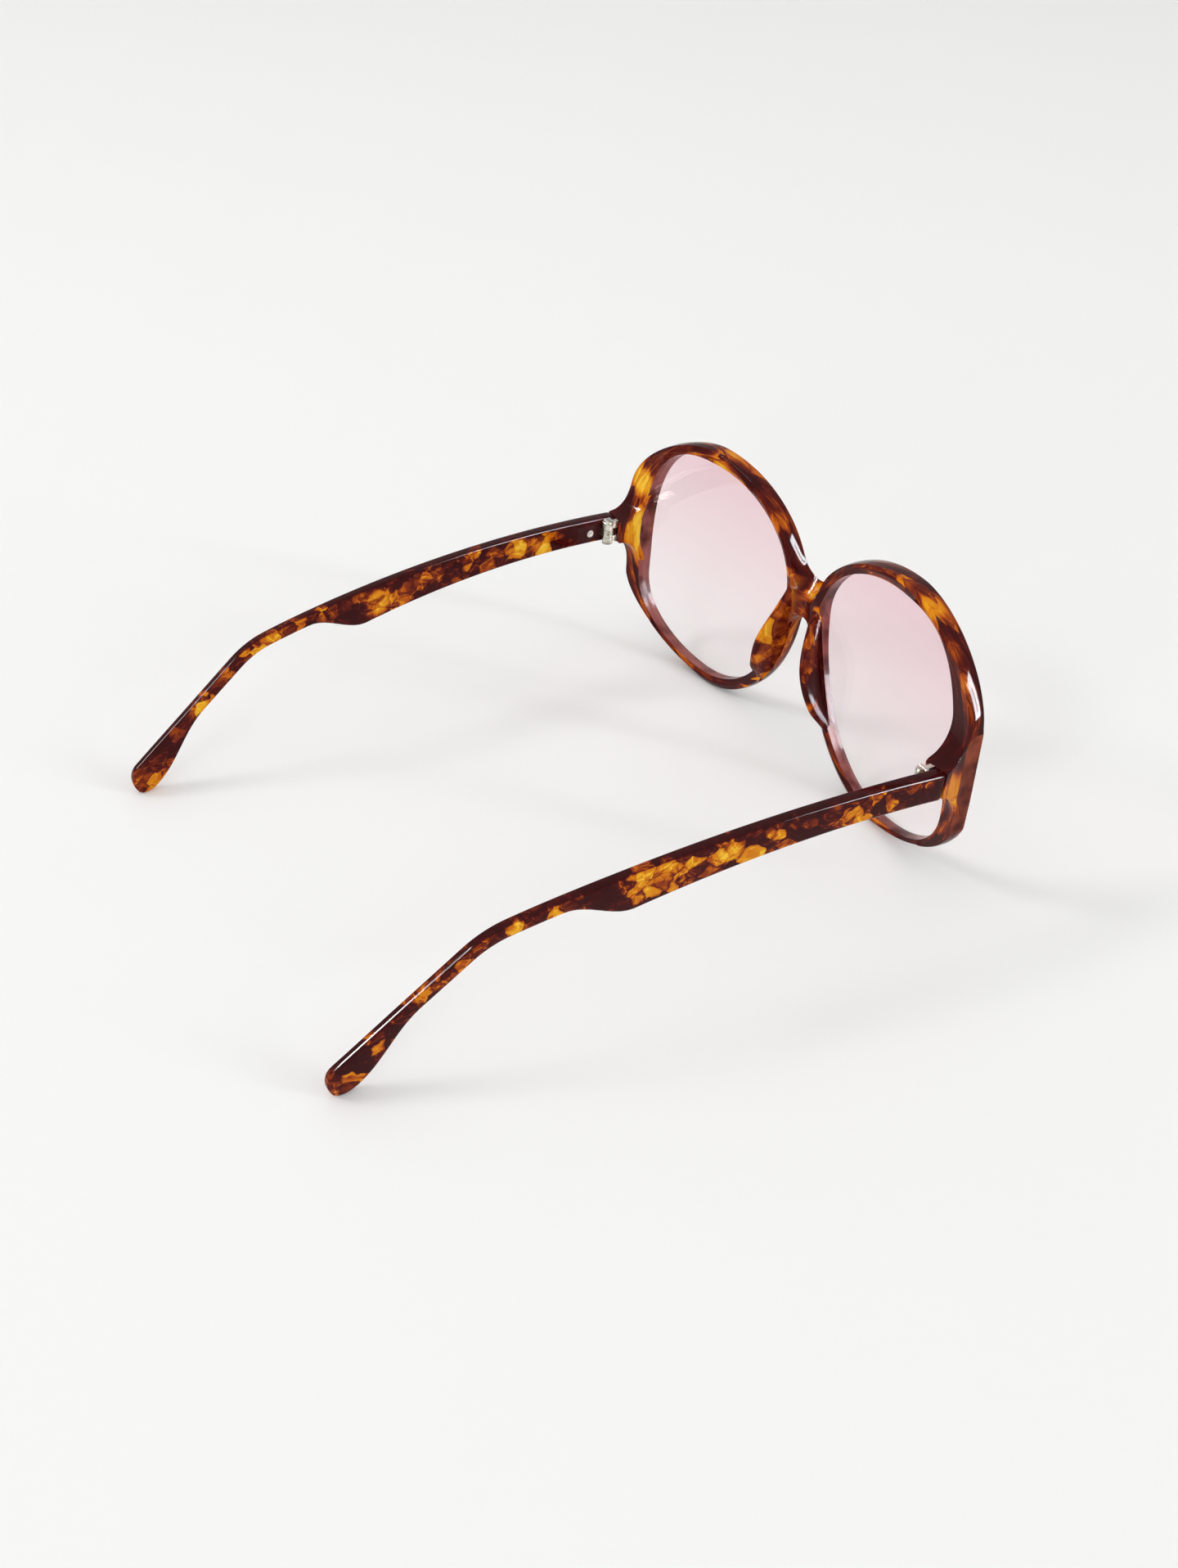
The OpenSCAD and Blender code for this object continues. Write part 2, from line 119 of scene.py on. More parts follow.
def rim_outline():
    """The left rim's outer edge and half of the bridge, from the dip round to the slot."""
    high, low = (peak_x + rim_peak_out, top_z), (peak_x - rim_foot_in, 0.0)
    nose_high = quarter(high, (nose_x, nose_z), 2, back=True)
    nose_low = quarter(low, (nose_x, nose_z), 2)
    dip = [(dip_r * sin(radians(a)), bridge_top + dip_r * (1 - cos(radians(a)))) for a in range(0, 61, 6)]
    slot_z = slot_top - slot_r
    slot = [(slot_r * cos(radians(a)), slot_z + slot_r * sin(radians(a))) for a in range(12, 91, 6)]
    return (dip + [p for p in nose_high if p[1] > dip[-1][1] + arc_gap]
            + quarter(high, (side_x, facet_high), high_corner) + [(side_x, facet_high)]
            + quarter(low, (side_x, facet_low), low_corner, back=True)
            + [p for p in nose_low if p[1] < slot[0][1] - arc_gap] + slot)


def spaced(points, count):
    """The same line with points at even steps, both ends kept."""
    lengths = [0.0]
    for a, b in zip(points, points[1:]):
        lengths.append(lengths[-1] + dist(a, b))
    result, k = [], 0
    for i in range(count + 1):
        want = lengths[-1] * i / count
        while k < len(points) - 2 and lengths[k + 1] < want:
            k += 1
        t = (want - lengths[k]) / (lengths[k + 1] - lengths[k])
        result.append(tuple(a + (b - a) * t for a, b in zip(points[k], points[k + 1])))
    return result


def cast(outline, centre, toward):
    """Where the ray from the centre towards a point crosses a closed outline."""
    dx, dz = toward[0] - centre[0], toward[1] - centre[1]
    hits = []
    for (ax, az), (bx, bz) in zip(outline, outline[1:] + outline[:1]):
        ex, ez = bx - ax, bz - az
        cross = dx * ez - dz * ex
        if abs(cross) < parallel:
            continue
        t = ((ax - centre[0]) * ez - (az - centre[1]) * ex) / cross
        s = ((ax - centre[0]) * dz - (az - centre[1]) * dx) / cross
        if t > 0 and -slack <= s <= 1 + slack:
            hits.append(t)
    return centre[0] + dx * min(hits), centre[1] + dz * min(hits)


middle = (peak_x, rim_bottom + opening_h / 2)
outer_line = spaced(rim_outline(), ring_stations)
outer_line += spaced([(0.0, slot_top), (0.0, bridge_top)], bridge_stations)[1:-1]
inner_line = [cast(opening_outline(), middle, p) for p in outer_line]
print(len(outer_line), "stations round each rim")

# %% [markdown]
# The front is bowed to a large radius, and its rims are thinner at the foot than at the
# top. At each side the plastic flares backwards into the end piece that carries the hinge.
# Two functions give the back face's depth and the thickness, and a third moves the points
# near the hinge along a quarter circle, so that one flat drawing becomes the whole front.

# %% Bow, thickness and flares
def back_y(x):
    return bow_r - sqrt(bow_r ** 2 - x ** 2)


def thickness(z):
    return foot_t + (front_t - foot_t) * min(1.0, z / full_up)


def end_piece(x, z, q):
    """Moves a point of the rim's outer side back into the end piece; q is 1 on the back face."""
    if x < flare_from or z > joint_up + flare_up or z < joint_low - flare_down:
        return x, back_y(x) - thickness(z) * (1 - q), z
    if z > joint_up:
        t, centre, size = (z - joint_up) / flare_up, joint_up, flare_up
    elif z < joint_low:
        t, centre, size = (joint_low - z) / flare_down, joint_low, -flare_down
    else:
        t, centre, size = 0.0, z, 0.0
    a = pi / 2 * t
    start = back_y(x)
    y = joint_back - (joint_back - start) * sin(a)
    lifted = centre + size * (1 - cos(a))
    share = (y - start) / (joint_back - start)
    out = end_step * share * (x > (open_out + side_x) / 2)
    ahead = start - thickness(z)
    half_way = start - thickness(z) * 0.5 * (1 - min(1.0, 3 * share))
    if q < 0.5:
        return x, ahead + (half_way - ahead) * 2 * q, z
    q = 2 * q - 1
    return x + out * q, half_way * (1 - q) + y * q, z + (lifted - z) * q

# %% [markdown]
# The bridge has a saddle: its top falls away towards the back, where the nose lies. The
# back of the bridge also lies a little ahead of the rims, so that their two rounded ridges
# meet in a cross. Both are small shifts of the same points, strongest in the middle.

# %% Saddle and crown
saddle, saddle_half = mm(4.6, 7.0)
recess, recess_half, recess_below = mm(1.1, 4.0, 2)
crown, crown_to, wall_crown = mm(0.55, 56, 0.35)
first_row, last_row = 0.01, 0.99


def front_point(x, z, q, w):
    """Bends a point of the flat front; q is 1 on the back face, w runs from the opening to the edge."""
    x2, y2, z2 = end_piece(x, z, q)
    if abs(x) < saddle_half and z > slot_top:
        fall = min(1.0, (z - slot_top) / (bridge_top - slot_top)) * (1 - (x / saddle_half) ** 2) ** 2
        z2 -= saddle * q * fall
    if abs(x) < recess_half and z > slot_top - recess_below:
        y2 -= recess * q * (1 - (x / recess_half) ** 2) ** 2
    if x < crown_to:
        y2 += crown * q * 4 * w * (1 - w)
    if w > last_row and x > recess_half and not (x > flare_from and facet_low < z < facet_high):
        reach = hypot(x - middle[0], z - middle[1])
        pull = wall_crown * (2 * q - 1) ** 2 / reach
        x2, z2 = x2 - (x - middle[0]) * pull, z2 - (z - middle[1]) * pull
    return x2, y2 + shift_y, z2

# %% [markdown]
# A few helpers serve every piece. One lays a grid of stations and rows and puts each of
# its vertices where a small function says, which is how a flat grid becomes a rim, a pad
# or a lens. Others give a sheet its second face, turn a left piece into a right one, find
# the sharp edges and make a finished bmesh an object.

# %% Helpers for the pieces
weld = 1e-7


def add_object(name, data):
    made = bpy.data.objects.new(name, data)
    scene.collection.objects.link(made)
    return made


def new_object(name, bm, smooth=True):
    mesh = bpy.data.meshes.new(name)
    for face in bm.faces:
        face.smooth = smooth
    bm.to_mesh(mesh)
    bm.free()
    return add_object(name, mesh)


def strip(stations, rows, place):
    """A grid bent round: stations along it, rows across it, each vertex put by place(i, w)."""
    bm = bmesh.new()
    bmesh.ops.create_grid(bm, x_segments=stations, y_segments=rows, size=0.5)
    row = bm.verts.layers.float.new("row")
    for v in bm.verts:
        i, v[row] = round((v.co.x + 0.5) * stations), v.co.y + 0.5
        v.co = place(i, v[row])
    return bm


def new_verts(made):
    return [g for g in made["geom"] if isinstance(g, bmesh.types.BMVert)]


def second_face(bm):
    """Extrudes a sheet into a closed solid and gives the vertices of its new face."""
    return new_verts(bmesh.ops.extrude_face_region(bm, geom=bm.faces[:], use_keep_orig=True))


def to_side(bm, side):
    """Mirrors a left piece when side is -1; the faces look outward after it."""
    bmesh.ops.scale(bm, verts=bm.verts, vec=(side, 1, 1))
    bmesh.ops.recalc_face_normals(bm, faces=bm.faces)


def sharp_edges(bm, angle):
    return [e for e in bm.edges if e.is_manifold and e.calc_face_angle() > radians(angle)]

# %% [markdown]
# The front is milled from one sheet of plastic and tumbled until its edges are round. Here
# one rim with its half of the bridge is a grid bent into a closed ring, extruded to the
# sheet's thickness and then bowed. A Mirror modifier adds the other half, a Bevel modifier
# rounds the edges and one level of subdivision polishes them. The edges carry weights, so
# that the outside is rounder than the opening, and the hinge faces stay crisp. The side
# facet's long edges are creased, which keeps it flat. The faces are sorted into three
# material slots: the polished plastic, the opening's wall and the side facet.

# %% The front
edge_round, edge_steps = 1.15 * MM, 3
opening_share, joint_share = 0.72, 0.28
sharp_front, edge_play, lug_play = 42, 0.1 * MM, 0.3 * MM


def make_front():
    n = len(outer_line)

    def place(i, w):
        (ax, az), (bx, bz) = inner_line[i % n], outer_line[i % n]
        return Vector((ax + (bx - ax) * w, 0.0, az + (bz - az) * w))

    bm = strip(n, 2, place)
    bmesh.ops.remove_doubles(bm, verts=bm.verts, dist=weld)
    bmesh.ops.translate(bm, verts=second_face(bm), vec=(0, -front_t, 0))
    walls = [e for e in bm.edges if abs(e.verts[0].co.y - e.verts[1].co.y) > front_t / 2]
    bmesh.ops.subdivide_edges(bm, edges=walls, cuts=1)
    middle_faces = [f for f in bm.faces if all(abs(v.co.x) < weld for v in f.verts)]
    bmesh.ops.delete(bm, geom=middle_faces, context="FACES")
    row = bm.verts.layers.float["row"]
    for v in bm.verts:
        v.co = front_point(v.co.x, v.co.z, 1 + v.co.y / front_t, v[row])
    bmesh.ops.recalc_face_normals(bm, faces=bm.faces)
    weight = bm.edges.layers.float.new("bevel_weight_edge")
    for e in sharp_edges(bm, sharp_front):
        at_joint = all(v.co.y > joint_back + shift_y - edge_play for v in e.verts)
        at_opening = all(v[row] < first_row for v in e.verts)
        e[weight] = joint_share if at_joint else opening_share if at_opening else 1.0
    crease = bm.edges.layers.float.new("crease_edge")

    def on_side(part):
        return all(v[row] > last_row and v.co.x > side_x - edge_play for v in part.verts)

    for e in bm.edges:
        if on_side(e) and e[weight] == 0:
            along = abs(e.verts[0].co.z - e.verts[1].co.z) > abs(e.verts[0].co.y - e.verts[1].co.y)
            e[crease] = float(along)
    for f in bm.faces:
        ahead_of_lug = all(v.co.y < back_y(v.co.x) + shift_y + lug_play for v in f.verts)
        opening_wall = all(v[row] < first_row for v in f.verts)
        f.material_index = 2 if ahead_of_lug and on_side(f) else int(ahead_of_lug and opening_wall)
    piece = new_object("mottled_front", bm)
    mirror = piece.modifiers.new("Mirror", "MIRROR")
    mirror.merge_threshold = 1e-6
    bevel = piece.modifiers.new("Bevel", "BEVEL")
    bevel.limit_method = "WEIGHT"
    bevel.width, bevel.segments = edge_round, edge_steps
    subdivide = piece.modifiers.new("Subdivision", "SUBSURF")
    subdivide.levels = subdivide.render_levels = 1
    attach(piece, "front")
    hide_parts("front_frame")
    return piece


front = make_front()
print("Front:", len(front.data.polygons), "faces before its modifiers")

# %% [markdown]
# Each nose pad is a swell on the back of the rim's nose side. It is one grid, bent so that
# its long sides follow the rim and its middle rises to a rounded ridge, and then extruded
# into a closed solid. Its ends dive into the rim, so that no seam shows.

# %% Nose pads
pad_high, pad_low, pad_peak_up = mm(45.0, 10.5, 26.5)
pad_out, pad_edge, pad_lean = 5.8 * MM, 0.6 * MM, radians(20)
pad_square, pad_reach, dive_parts = 2.4, 30 * MM, 5


def nose_side(z, edge_x, low_z, high_z, low_x, high_x):
    """Nose side of an outline at height z: two quarters of ellipses that meet at nose_z."""
    end_z, end_x = (low_z, low_x) if z < nose_z else (high_z, high_x)
    return end_x - (end_x - edge_x) * sqrt(max(0.0, 1 - ((z - nose_z) / (end_z - nose_z)) ** 2))


def ease(t):
    t = min(1.0, max(0.0, t))
    return t * t * (3 - 2 * t)


def pad_ridge(z):
    if z < pad_peak_up:
        rise = sin(pi / 2 * (z - pad_low) / (pad_peak_up - pad_low))
    else:
        rise = 1 - ease((z - pad_peak_up) / (pad_high - pad_peak_up))
    return pad_edge + (pad_out - pad_edge) * rise


def make_pad(side, name, node):
    stations, rows = 60, 14
    root, sink = mm(1.0, 0.35)

    def place(i, w):
        z = pad_low + (pad_high - pad_low) * i / stations
        a = nose_side(z, open_in, rim_bottom, open_high, peak_x, peak_x)
        b = nose_side(z, nose_x, 0.0, top_z, peak_x - rim_foot_in, peak_x + rim_peak_out)
        end = min(1.0, dive_parts * min(i, stations - i) / stations)
        rise = (pad_ridge(z) - sink) * sin(pi / 2 * end) + sink - sink * 2 * (1 - end)
        hump = (1 - abs(2 * w - 1) ** pad_square) ** (1 / pad_square)
        lean = tan(pad_lean) * max(0.0, rise * hump)
        x = a + (b - a) * w
        return Vector((x + lean, back_y(x) - root + (root + rise) * hump, z))

    bm = strip(stations, rows, place)
    for v in second_face(bm):
        v.co.y = back_y(min(v.co.x, pad_reach)) - root
    bmesh.ops.translate(bm, verts=bm.verts, vec=(0, shift_y, 0))
    to_side(bm, side)
    pad = new_object(name, bm)
    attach(pad, "front")
    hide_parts(node)
    return pad


pads = [make_pad(1, "soft_pad_left", "nose_pad_left"), make_pad(-1, "soft_pad_right", "nose_pad_right")]
print("Pads:", [round(d / MM, 1) for d in pads[0].dimensions], "mm")

# %% [markdown]
# The lenses are thin sheets, bent to the front's bow and also a little from top to bottom,
# as a ground lens is. A grid is laid over the opening, bent and given its thickness.

# %% Lenses
lens_t, lens_seat, lens_inset = mm(1.8, 0.9, 0.9)
bulge, bulge_x, bulge_z = mm(0.9, 28, 29)
lens_points, lens_rings, ring_reach, hole, sharp_lens = 120, 12, 0.97, 5 * MM, 40


def make_lens(side, name, node):
    outline = opening_outline(lens_seat)
    outline = spaced(outline + outline[:1], lens_points)[:-1]

    def place(i, w):
        x, z = outline[i % lens_points]
        share = 1 - w * ring_reach
        return Vector((middle[0] + (x - middle[0]) * share, 0, middle[1] + (z - middle[1]) * share))

    bm = strip(lens_points, lens_rings, place)
    bmesh.ops.remove_doubles(bm, verts=bm.verts, dist=weld)
    inner = [e for e in bm.edges if e.is_boundary
             and (e.verts[0].co - Vector((middle[0], 0, middle[1]))).length < hole]
    bmesh.ops.contextual_create(bm, geom=inner)
    bmesh.ops.translate(bm, verts=second_face(bm), vec=(0, -lens_t, 0))
    for v in bm.verts:
        inside = 1 - ((v.co.x - middle[0]) / bulge_x) ** 2 - ((v.co.z - middle[1]) / bulge_z) ** 2
        v.co.y += back_y(v.co.x) - lens_inset - bulge * max(0.0, inside) + shift_y
    to_side(bm, side)
    for e in sharp_edges(bm, sharp_lens):
        e.smooth = False
    lens = new_object(name, bm)
    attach(lens, "front")
    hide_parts(node)
    return lens


lenses = [make_lens(1, "tinted_lens_left", "lens_left"), make_lens(-1, "tinted_lens_right", "lens_right")]
print("Lens width:", round(lenses[0].dimensions.x / MM, 1), "mm")

# %% [markdown]
# A temple is drawn in the CAD model as a side view and a plan. Here both are followed
# again: the top edge is a chain of arcs of known length, and a rounded section is carried
# along it, ring after ring.

# %% Temple line
temple_t, tip_t, bump_h, slim_h, paddle_h = mm(3.2, 2.0, 9.2, 3.2, 7.6)
bump_at, bump_run, bend_at, bend_run = mm(75, 14.5, 100.5, 10)
tail_slope, paddle_run, paddle_end, tip_share = 37.5, 20 * MM, 4.5 * MM, 0.68
temple_lean, temple_bow_r, joint_gap = radians(2.5), 1.8, 0.1 * MM
first_slope, bump_slope, bend_slope, tail_run = -4.6, 8.8, 11.5, 1.0
runs = [(bump_at + bump_run, first_slope, bump_slope), (bend_at - bump_at - bump_run, bump_slope, bend_slope),
        (bend_run, bend_slope, tail_slope), (tail_run, tail_slope, tail_slope)]


def edge_at(u):
    """The top edge at the length u from the joint: y, z and the slope downwards."""
    y, z = joint_back + joint_gap, joint_up
    for length, a, b in runs:
        part = min(u, length)
        slope = radians(a + (b - a) * part / length)
        mid, turn = (radians(a) + slope) / 2, (slope - radians(a)) / 2
        chord = part * (sin(turn) / turn if abs(turn) > 1e-6 else 1)
        y, z = y + chord * cos(mid), z - chord * sin(mid)
        if u <= length:
            return y, z, slope
        u -= length


tail_start = bend_at + bend_run
tail_a = radians(tail_slope)
end_drop = tip_share * paddle_h * cos(tail_a) + hypot(
    paddle_end * sin(tail_a), (1 - tip_share) * paddle_h * cos(tail_a))
tail_len = tail_start + (edge_at(tail_start)[1] - end_drop) / sin(tail_a) + paddle_end
widen_from = tail_len - paddle_run - paddle_end


def height_at(u):
    if u < bump_at:
        return temple_h + (bump_h - temple_h) * (u / bump_at) ** 2
    if u < bump_at + bump_run:
        return bump_h + (slim_h - bump_h) * ease((u - bump_at) / bump_run)
    return slim_h + (paddle_h - slim_h) * ease((u - widen_from) / paddle_run)


print("Temple length along its edge:", round(tail_len / MM, 1), "mm")

# %% [markdown]
# The temple's section is a flat bar with a crisp rounded crease along its top and softer
# corners below. Twenty points go round it, five to a corner. Towards the tip the bar
# thins, and its last few millimetres are drawn in to a rounded end.

# %% Temple section
top_round, low_round, least_round = mm(0.5, 0.8, 0.05)
tip_thin, thin_from, temple_reach = 0.45, 0.35, 137 * MM
half_limit, thin_limit = 0.9, 0.45


def rounded_section(width, height, top_radius, low_radius, per_corner=5):
    points = []
    for cx, cz, start in ((1, 1, 0), (-1, 1, 90), (-1, -1, 180), (1, -1, 270)):
        radius = top_radius if cz > 0 else low_radius
        for k in range(per_corner):
            a = radians(start + 90 * k / (per_corner - 1))
            points.append((cx * (width / 2 - radius) + radius * cos(a),
                           cz * (height / 2 - radius) + radius * sin(a)))
    return points


def temple_ring(u, inset=0.0):
    """Points of the temple's rounded section at the length u."""
    y, z, slope = edge_at(min(u, tail_len))
    height = height_at(u)
    t = max(0.0, (u - tail_len + paddle_end) / paddle_end)
    round_off = sqrt(max(0.0, 1 - t * t))
    half = height / 2 * round_off
    drop = height * (tip_share * (1 - round_off) + round_off / 2)
    cy, cz = y - drop * sin(slope), z - drop * cos(slope)
    run = cy - joint_back
    outer = outer_x - run * tan(temple_lean) - run * run / (2 * temple_bow_r)
    thick = temple_t + (tip_t - temple_t) * run / temple_reach
    narrow = sqrt(max(0.0, 1 - max(0.0, (t - thin_from) / (1 - thin_from)) ** 2))
    thin = thick * (tip_thin + (1 - tip_thin) * narrow)
    top_radius, low_radius = [max(least_round, min(r, half * half_limit, thin * thin_limit) - inset / 2)
                              for r in (top_round, low_round)]
    return [Vector((outer - thick / 2 + px, cy + shift_y + pz * sin(slope), cz + pz * cos(slope)))
            for px, pz in rounded_section(thin - 2 * inset, 2 * half - 2 * inset, top_radius, low_radius)]

# %% [markdown]
# The hinge's plate is let into the temple's inner face. The pocket is cut as a maker would:
# four cuts mark its border on that face, and the faces inside it are pushed in.

# %% Pocket for the hinge plate
pin_y, hinge_mid, plate_x = 15.7 * MM, 33.9 * MM, outer_x - temple_t
plate_back, plate_half, plate_t, knuckle_r = mm(8.4, 2.3, 0.9, 1.4)
play = 0.03 * MM
inward, cut_reach, cut_from, sharp_pocket = -0.7, 3 * MM, 0.3 * MM, 60


def cut_pocket(bm):
    low_y, high_y = pin_y - knuckle_r + shift_y, pin_y + plate_back + shift_y + play
    low_z, high_z = hinge_mid - plate_half - play, hinge_mid + plate_half + play
    for at, along in ((low_y, (0, 1, 0)), (high_y, (0, 1, 0)), (low_z, (0, 0, 1)), (high_z, (0, 0, 1))):
        bm.normal_update()
        inner = [f for f in bm.faces if f.normal.x < inward and f.calc_center_median().y < high_y + cut_reach
                 and all(v.co.y > joint_back + shift_y + cut_from for v in f.verts)]
        edges = {e for f in inner for e in f.edges}
        verts = {v for f in inner for v in f.verts}
        bmesh.ops.bisect_plane(bm, geom=inner + list(edges) + list(verts), dist=weld,
                               plane_co=Vector(along) * at, plane_no=along)

    def within(c):
        return low_y < c.y < high_y and low_z < c.z < high_z

    bm.normal_update()
    pocket = [f for f in bm.faces if f.normal.x < inward and within(f.calc_center_median())]
    made = bmesh.ops.extrude_face_region(bm, geom=pocket)
    for v in new_verts(made):
        v.co.x = plate_x + plate_t + play
    bmesh.ops.delete(bm, geom=[f for f in pocket if f.is_valid], context="FACES")
    bmesh.ops.recalc_face_normals(bm, faces=bm.faces)
    for e in sharp_edges(bm, sharp_pocket):
        e.smooth = False
    print("Pocket cut;", sum(not e.is_manifold for e in bm.edges), "open or doubled edges")

# %% [markdown]
# Each temple starts as one circle of twenty vertices, set to the section's shape at the
# joint. The ring is extruded again and again and set to the section further along. The
# first rings are slightly smaller, which breaks the sharp edge of the hinge end.

# %% Temples
first_steps, first_insets, ring_step = mm(0.0, 0.12, 0.35), mm(0.35, 0.08), 1.5 * MM


def make_temple(side, name, node, body):
    steps = first_steps + [ring_step * k for k in range(1, int((tail_len - paddle_end) / ring_step))]
    steps += [tail_len - paddle_end + paddle_end * sin(radians(a)) for a in range(0, 88, 6)]
    insets = first_insets + [0.0] * (len(steps) - 2)
    bm = bmesh.new()
    bmesh.ops.create_circle(bm, segments=20, radius=1.0, cap_ends=False)
    loop = bm.edges[:]
    for v, p in zip(bm.verts, temple_ring(steps[0], insets[0])):
        v.co = p
    bmesh.ops.contextual_create(bm, geom=loop)
    for u, inset in zip(steps[1:], insets[1:]):
        made = bmesh.ops.extrude_edge_only(bm, edges=loop)
        loop = [g for g in made["geom"] if isinstance(g, bmesh.types.BMEdge) and g.is_boundary]
        for v, p in zip(new_verts(made), temple_ring(u, inset)):
            v.co = p
    bmesh.ops.contextual_create(bm, geom=loop)
    bmesh.ops.recalc_face_normals(bm, faces=bm.faces)
    cut_pocket(bm)
    to_side(bm, side)
    temple = new_object(name, bm)
    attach(temple, body)
    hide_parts(node)
    return temple


temples = [make_temple(1, "mottled_temple_left", "temple_left", "left_temple"),
           make_temple(-1, "mottled_temple_right", "temple_right", "right_temple")]

# %% [markdown]
# Colours and finishes are built from shader nodes. The first helper fills a node's inputs:
# a socket is linked, a plain value is set on the input itself. The second adds a node, the
# next are short names for the nodes used most, and the last one opens a node group.

# %% Helpers for node trees
def fill(inputs, feed):
    """In feed, each input's name or number goes with a socket or a value."""
    for key, value in feed.items():
        if isinstance(value, bpy.types.NodeSocket):
            value.id_data.links.new(value, inputs[key])
        else:
            inputs[key].default_value = value


def node(tree, kind, place, feed={}, **settings):
    made = tree.nodes.new("ShaderNode" + kind)
    made.location = place
    for key, value in settings.items():
        setattr(made, key, value)
    fill(made.inputs, feed)
    return made


def maths(tree, operation, place, *values):
    return node(tree, "Math", place, dict(enumerate(values)), operation=operation).outputs[0]


def noise(tree, vector, place, scale, detail=2.0):
    return node(tree, "TexNoise", place, {"Vector": vector, "Scale": scale, "Detail": detail}).outputs


def fade(tree, value, place, start, end, low=0.0, high=1.0, smooth=True):
    """A value that goes from low to high while the one that comes in goes from start to end."""
    feed = {"Value": value, "From Min": start, "From Max": end, "To Min": low, "To Max": high}
    shape = "SMOOTHSTEP" if smooth else "LINEAR"
    return node(tree, "MapRange", place, feed, interpolation_type=shape).outputs[0]


def mix_colours(tree, place, share, first, second):
    # a Mix node has inputs for each kind of data; its colours are 6 and 7
    return node(tree, "Mix", place, {0: share, 6: first, 7: second}, data_type="RGBA").outputs[2]


def linear(code):
    """A six-digit screen colour as the linear values that a node wants."""
    screen = [int(code[j:j + 2], 16) / 255 for j in (0, 2, 4)]
    return [((c + 0.055) / 1.055) ** 2.4 if c > 0.04 else c / 12.92 for c in screen] + [1.0]


def colour_ramp(tree, value, place, stops):
    """A Color Ramp's colour; each stop is a position and a six-digit screen colour."""
    made = node(tree, "ValToRGB", place, {"Fac": value})
    for k, (at, code) in enumerate(stops):
        stop = made.color_ramp.elements[k] if k < 2 else made.color_ramp.elements.new(at)
        stop.position, stop.color = at, linear(code)
    return made.outputs["Color"]


def new_group(name, inputs, outputs):
    """A node group, with the sockets to link from and those to link to."""
    tree = bpy.data.node_groups.new(name, "ShaderNodeTree")
    for direction, sockets in (("INPUT", inputs), ("OUTPUT", outputs)):
        for label, kind in sockets.items():
            tree.interface.new_socket(label, in_out=direction, socket_type="NodeSocket" + kind)
    entry, leave = tree.nodes.new("NodeGroupInput"), tree.nodes.new("NodeGroupOutput")
    entry.location, leave.location = (-1600, 0), (1400, 0)
    return tree, entry.outputs, leave.inputs

# %% [markdown]
# Tortoiseshell plastic runs from a dark red brown through rust and orange to amber. All of
# its parts share one ramp of these colours. The dark end covers more than a third of the
# ramp, because most of the chips are dark.

# %% Colours of the chips
chip_colours = [(0.00, "2e080a"), (0.36, "390b0b"), (0.44, "480f0e"), (0.49, "5b1a0e"), (0.53, "70270f"),
                (0.57, "8a370e"), (0.60, "a5480f"), (0.63, "bd5e0f"), (0.67, "cc740f"), (0.74, "d88913"),
                (0.79, "e4a522"), (0.87, "efbd38")]
print(len(chip_colours), "colours from dark to amber")

# %% [markdown]
# The plastic is made of coloured chips pressed into one sheet and polished. A slow noise
# drifts from dark to light, Voronoi cells are the chips that each take a step lighter or
# darker, and small ones are flecks in them. Bright threads run where chips have flowed,
# and dark lines part the chips. The sum goes through the ramp. It is a node group, because
# each plastic part uses it with values of its own. It also puts out a faint haze, for the
# roughness and the bump.

# %% The mottled plastic group
pattern_names = "Chip Step", "Chip Scale", "Drift Scale", "Threads", "Crispness", "Outlines"
warp_scale, warp_reach = 190.0, 0.0045
drift_detail = 1.5
fleck_ratio, fleck_share = 2.7, 0.45
thread_scale, thread_detail, thread_sharpness = 240.0, 1.0, 45.0
outline_core, outline_edge = 0.02, 0.12
haze_scale, haze_detail, haze_rough = 260.0, 4.0, (0.04, 0.13)


